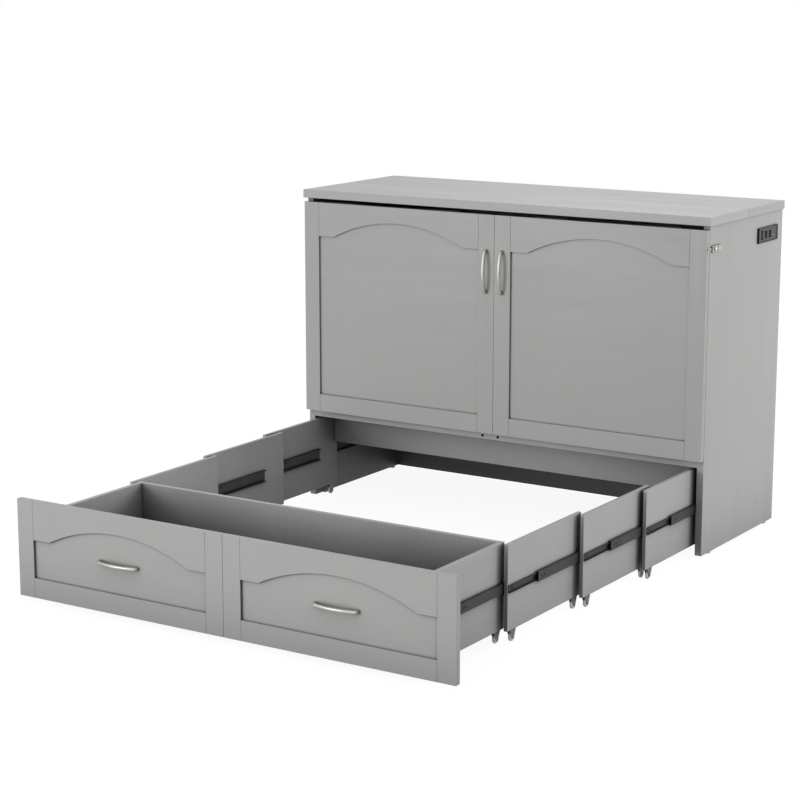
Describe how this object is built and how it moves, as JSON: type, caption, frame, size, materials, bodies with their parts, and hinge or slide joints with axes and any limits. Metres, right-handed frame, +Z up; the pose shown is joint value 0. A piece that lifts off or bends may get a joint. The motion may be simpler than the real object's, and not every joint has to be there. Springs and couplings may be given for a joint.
{
  "type": "cabinet bed",
  "caption": "Grey painted cabinet with a fold-back lid, a drop front that looks like arched doors, and a drawer pulled out on a telescoping frame on casters.",
  "frame": {"origin": "on the floor under the middle of the whole object, with the drawer pulled out and the front shut", "axes": "+X to the right of someone facing the front, +Y from the drawer front to the cabinet back, +Z up"},
  "size_m": [1.523, 2.077, 1.084],
  "materials": {
    "painted_wood": "satin grey paint",
    "dark_board": "dark lacquer",
    "brushed_nickel": "brushed nickel",
    "dark_zinc": "black zinc",
    "bright_steel": "bright zinc",
    "caster_steel": "grey zinc",
    "wheel_plastic": "light nylon",
    "black_plastic": "satin black"
  },
  "bodies": {
    "cabinet": {"side_panel_right": "painted_wood", "side_panel_left": "painted_wood", "lid_rear": "painted_wood", "platform_shelf": "painted_wood", "back_panel": "painted_wood", "back_rail": "dark_board", "top_rails": "painted_wood", "floor_glides": "black_plastic", "outlet_unit": "black_plastic", "catch_housings": "bright_steel", "shelf_magnets": "black_plastic", "shelf_hinge_leaves": "bright_steel", "lid_hinge_barrels_rear": "bright_steel", "cabinet_slide_channels": "dark_zinc"},
    "lid_front": {"lid_front": "painted_wood", "lid_hinge_barrels_front": "bright_steel"},
    "front_panel": {"front_backer": "painted_wood", "front_stiles": "painted_wood", "front_rails": "painted_wood", "front_handles": "brushed_nickel", "catch_tongues": "bright_steel", "front_hinge_leaves": "bright_steel"},
    "foot_panel": {"foot_panel": "painted_wood", "foot_hinge_leaves": "bright_steel"},
    "stage1": {"stage1_rail_right": "painted_wood", "stage1_rail_left": "painted_wood", "stage1_slide_members": "dark_zinc", "stage1_casters": "caster_steel", "stage1_cross_rail": "painted_wood"},
    "stage1_middle": {"stage1_middle_slides": "dark_zinc"},
    "stage1_wheels_front": {"stage1_wheels_front": "wheel_plastic"},
    "stage1_wheels_rear": {"stage1_wheels_rear": "wheel_plastic"},
    "stage2": {"stage2_rail_right": "painted_wood", "stage2_rail_left": "painted_wood", "stage2_slide_members": "dark_zinc", "stage2_casters": "caster_steel"},
    "stage2_middle": {"stage2_middle_slides": "dark_zinc"},
    "stage2_wheels_front": {"stage2_wheels_front": "wheel_plastic"},
    "stage2_wheels_rear": {"stage2_wheels_rear": "wheel_plastic"},
    "stage3": {"stage3_rail_right": "painted_wood", "stage3_rail_left": "painted_wood", "stage3_slide_members": "dark_zinc", "stage3_casters": "caster_steel"},
    "stage3_middle": {"stage3_middle_slides": "dark_zinc"},
    "stage3_wheels_front": {"stage3_wheels_front": "wheel_plastic"},
    "stage3_wheels_rear": {"stage3_wheels_rear": "wheel_plastic"},
    "drawer": {"drawer_backer": "painted_wood", "drawer_stiles": "painted_wood", "drawer_rails": "painted_wood", "drawer_handles": "brushed_nickel", "drawer_side_right": "painted_wood", "drawer_side_left": "painted_wood", "drawer_back": "painted_wood", "drawer_bottom": "painted_wood", "drawer_slide_members": "dark_zinc", "drawer_casters": "caster_steel"},
    "drawer_middle": {"drawer_middle_slides": "dark_zinc"},
    "drawer_wheels_front": {"drawer_wheels_front": "wheel_plastic"},
    "drawer_wheels_rear": {"drawer_wheels_rear": "wheel_plastic"}
  },
  "joints": [
    {"name": "front_drop", "type": "hinge", "parent": "cabinet", "child": "front_panel", "pos_m": [0, 0.4748, 0.3158], "axis": [1, 0, 0], "range_deg": [0, 90]},
    {"name": "foot_unfold", "type": "hinge", "parent": "front_panel", "child": "foot_panel", "pos_m": [0, 0.4748, 1.044], "axis": [1, 0, 0], "range_deg": [0, 180]},
    {"name": "lid_fold", "type": "hinge", "parent": "cabinet", "child": "lid_front", "pos_m": [0, 0.744, 1.08425], "axis": [-1, 0, 0], "range_deg": [0, 180]},
    {"name": "stage1_slide", "type": "slide", "parent": "cabinet", "child": "stage1", "axis": [0, -1, 0], "range_m": [-0.346, 0]},
    {"name": "stage1_middle_slide", "type": "slide", "parent": "cabinet", "child": "stage1_middle", "axis": [0, -1, 0], "range_m": [-0.19301, 0]},
    {"name": "stage1_wheels_front_roll", "type": "hinge", "parent": "stage1", "child": "stage1_wheels_front", "pos_m": [0, 0.181, 0.013], "axis": [1, 0, 0], "continuous": true},
    {"name": "stage1_wheels_rear_roll", "type": "hinge", "parent": "stage1", "child": "stage1_wheels_rear", "pos_m": [0, 0.541, 0.013], "axis": [1, 0, 0], "continuous": true},
    {"name": "stage2_slide", "type": "slide", "parent": "stage1", "child": "stage2", "axis": [0, -1, 0], "range_m": [-0.341, 0]},
    {"name": "stage2_middle_slide", "type": "slide", "parent": "stage1", "child": "stage2_middle", "axis": [0, -1, 0], "range_m": [-0.18801, 0]},
    {"name": "stage2_wheels_front_roll", "type": "hinge", "parent": "stage2", "child": "stage2_wheels_front", "pos_m": [0, -0.177, 0.013], "axis": [1, 0, 0], "continuous": true},
    {"name": "stage2_wheels_rear_roll", "type": "hinge", "parent": "stage2", "child": "stage2_wheels_rear", "pos_m": [0, 0.183, 0.013], "axis": [1, 0, 0], "continuous": true},
    {"name": "stage3_slide", "type": "slide", "parent": "stage2", "child": "stage3", "axis": [0, -1, 0], "range_m": [-0.396, 0]},
    {"name": "stage3_middle_slide", "type": "slide", "parent": "stage2", "child": "stage3_middle", "axis": [0, -1, 0], "range_m": [-0.24301, 0]},
    {"name": "stage3_wheels_front_roll", "type": "hinge", "parent": "stage3", "child": "stage3_wheels_front", "pos_m": [0, -0.573, 0.013], "axis": [1, 0, 0], "continuous": true},
    {"name": "stage3_wheels_rear_roll", "type": "hinge", "parent": "stage3", "child": "stage3_wheels_rear", "pos_m": [0, -0.213, 0.013], "axis": [1, 0, 0], "continuous": true},
    {"name": "drawer_slide", "type": "slide", "parent": "stage3", "child": "drawer", "axis": [0, -1, 0], "range_m": [-0.389, 0]},
    {"name": "drawer_middle_slide", "type": "slide", "parent": "stage3", "child": "drawer_middle", "axis": [0, -1, 0], "range_m": [-0.23601, 0]},
    {"name": "drawer_wheels_front_roll", "type": "hinge", "parent": "drawer", "child": "drawer_wheels_front", "pos_m": [0, -0.9645, 0.013], "axis": [1, 0, 0], "continuous": true},
    {"name": "drawer_wheels_rear_roll", "type": "hinge", "parent": "drawer", "child": "drawer_wheels_rear", "pos_m": [0, -0.6155, 0.013], "axis": [1, 0, 0], "continuous": true}
  ],
  "couplings": [
    {"joint": "foot_unfold", "follows": "front_drop", "ratio": 2},
    {"joint": "lid_fold", "follows": "front_drop", "ratio": 2},
    {"joint": "stage1_middle_slide", "follows": "stage1_slide", "ratio": 0.5578},
    {"joint": "stage2_middle_slide", "follows": "stage2_slide", "ratio": 0.55132},
    {"joint": "stage3_middle_slide", "follows": "stage3_slide", "ratio": 0.61364},
    {"joint": "drawer_middle_slide", "follows": "drawer_slide", "ratio": 0.60668}
  ]
}
